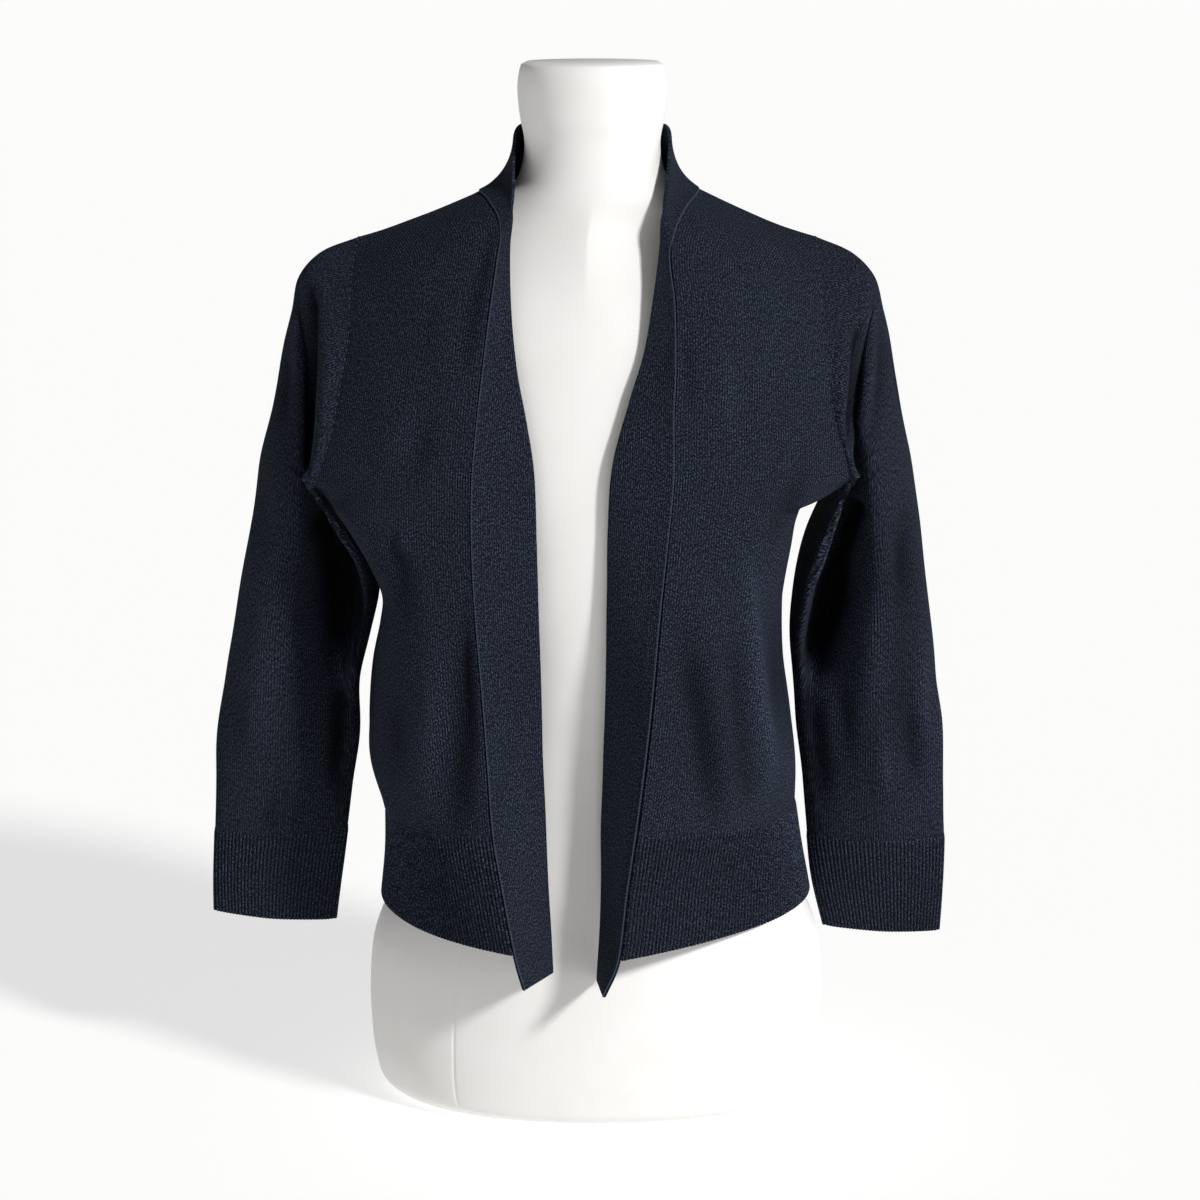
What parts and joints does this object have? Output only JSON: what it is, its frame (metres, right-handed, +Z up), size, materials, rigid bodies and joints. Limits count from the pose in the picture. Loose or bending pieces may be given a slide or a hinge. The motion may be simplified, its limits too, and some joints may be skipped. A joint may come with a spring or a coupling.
{
  "type": "cardigan on a dress form",
  "caption": "Cropped open-front knitted cardigan with a wide front band, ribbed hem and ribbed three-quarter sleeves, on a limbless dress form that stands on its flat base.",
  "frame": {"origin": "centre of the dress form's flat base", "axes": "+Z up along the form, -Y out of the garment's front, +X to the viewer's right, which is the wearer's left"},
  "size_m": [0.5646, 0.2638, 0.783],
  "materials": {
    "jersey": "fine wool jersey knit, dark navy",
    "rib": "rib knit, dark navy",
    "band": "double-layer jersey band, dark navy",
    "form_cover": "smooth off-white stretch cover over foam"
  },
  "bodies": {
    "root": {"form": "form_cover", "front_left": "jersey", "front_right": "jersey", "back": "jersey", "hem_rib_front_left": "rib", "hem_rib_front_right": "rib", "hem_rib_back": "rib", "band_left": "band", "band_right": "band", "sleeve_left": "jersey", "sleeve_right": "jersey", "cuff_left": "rib", "cuff_right": "rib"}
  },
  "joints": []
}
